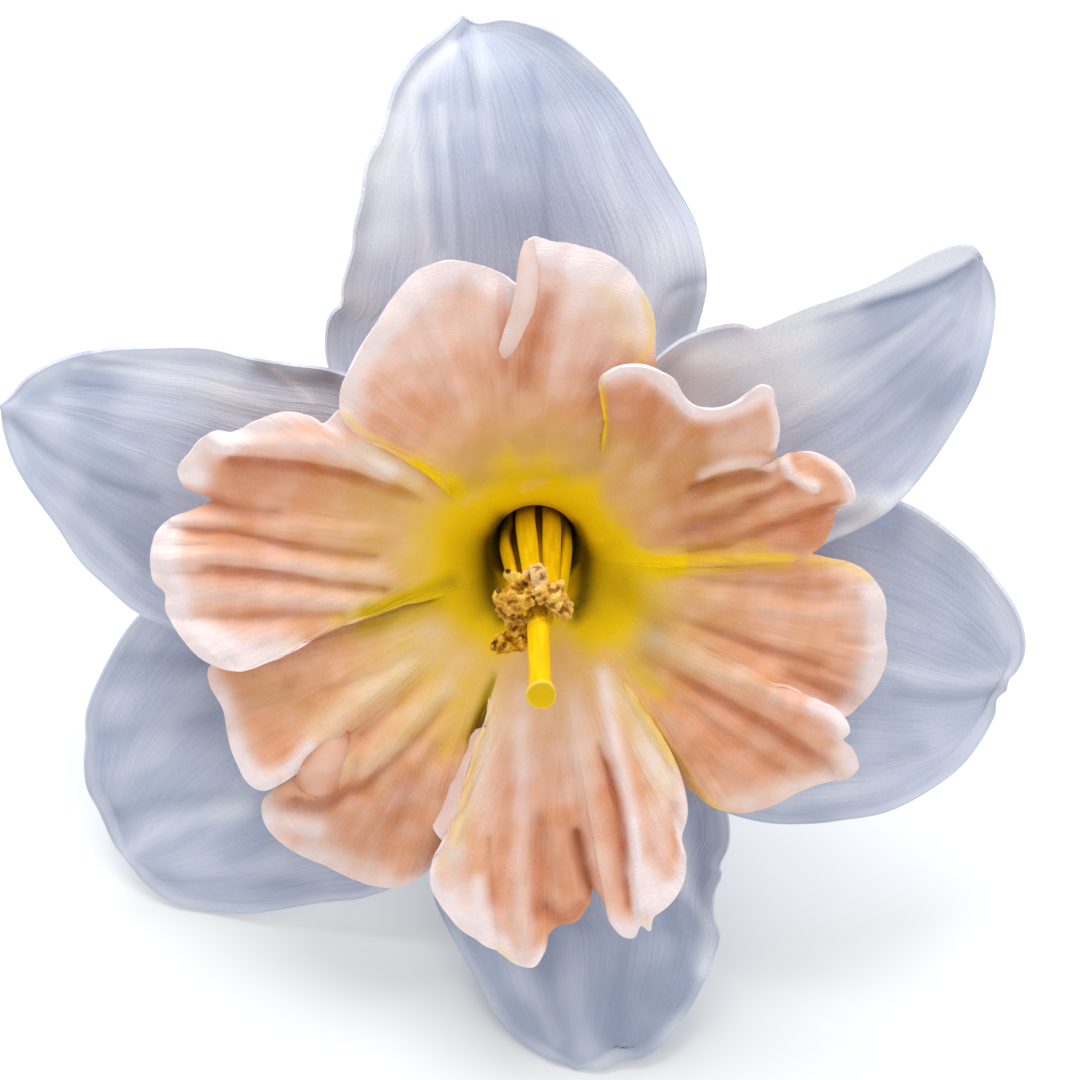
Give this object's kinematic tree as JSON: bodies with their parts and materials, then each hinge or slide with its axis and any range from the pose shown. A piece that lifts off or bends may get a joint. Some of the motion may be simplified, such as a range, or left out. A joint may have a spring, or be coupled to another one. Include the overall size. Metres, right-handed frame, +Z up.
{
  "type": "daffodil flower",
  "caption": "Split-corona daffodil flower, picked with a short stalk and laid down: white petals behind a ruffled peach collar, with yellow filaments, anthers and style.",
  "frame": {"origin": "on the table, under the middle of the box round the flower", "axes": "+Z up from the table, +Y away from whoever looks into the open flower, +X to their right"},
  "size_m": [0.1048, 0.0802, 0.0659],
  "materials": {
    "petal": "Petal, satin white with a cool cast",
    "corona": "Ruffled petal tissue, satin peach",
    "filament": "Smooth waxy yellow",
    "anther": "Dry, dusted with pollen, matte golden brown",
    "style": "Smooth waxy yellow",
    "tube": "Satin, yellow green",
    "ovary": "Satin green",
    "stalk": "Satin mid green"
  },
  "bodies": {
    "root": {"petal_outer_top": "petal", "petal_inner_upper_right": "petal", "petal_outer_lower_right": "petal", "petal_inner_bottom": "petal", "petal_outer_lower_left": "petal", "petal_inner_left": "petal", "corona": "corona", "filament_1": "filament", "anther_1": "anther", "filament_2": "filament", "anther_2": "anther", "filament_3": "filament", "anther_3": "anther", "filament_4": "filament", "anther_4": "anther", "filament_5": "filament", "anther_5": "anther", "filament_6": "filament", "anther_6": "anther", "style": "style", "perianth_tube": "tube", "ovary": "ovary", "stalk": "stalk"}
  },
  "joints": []
}
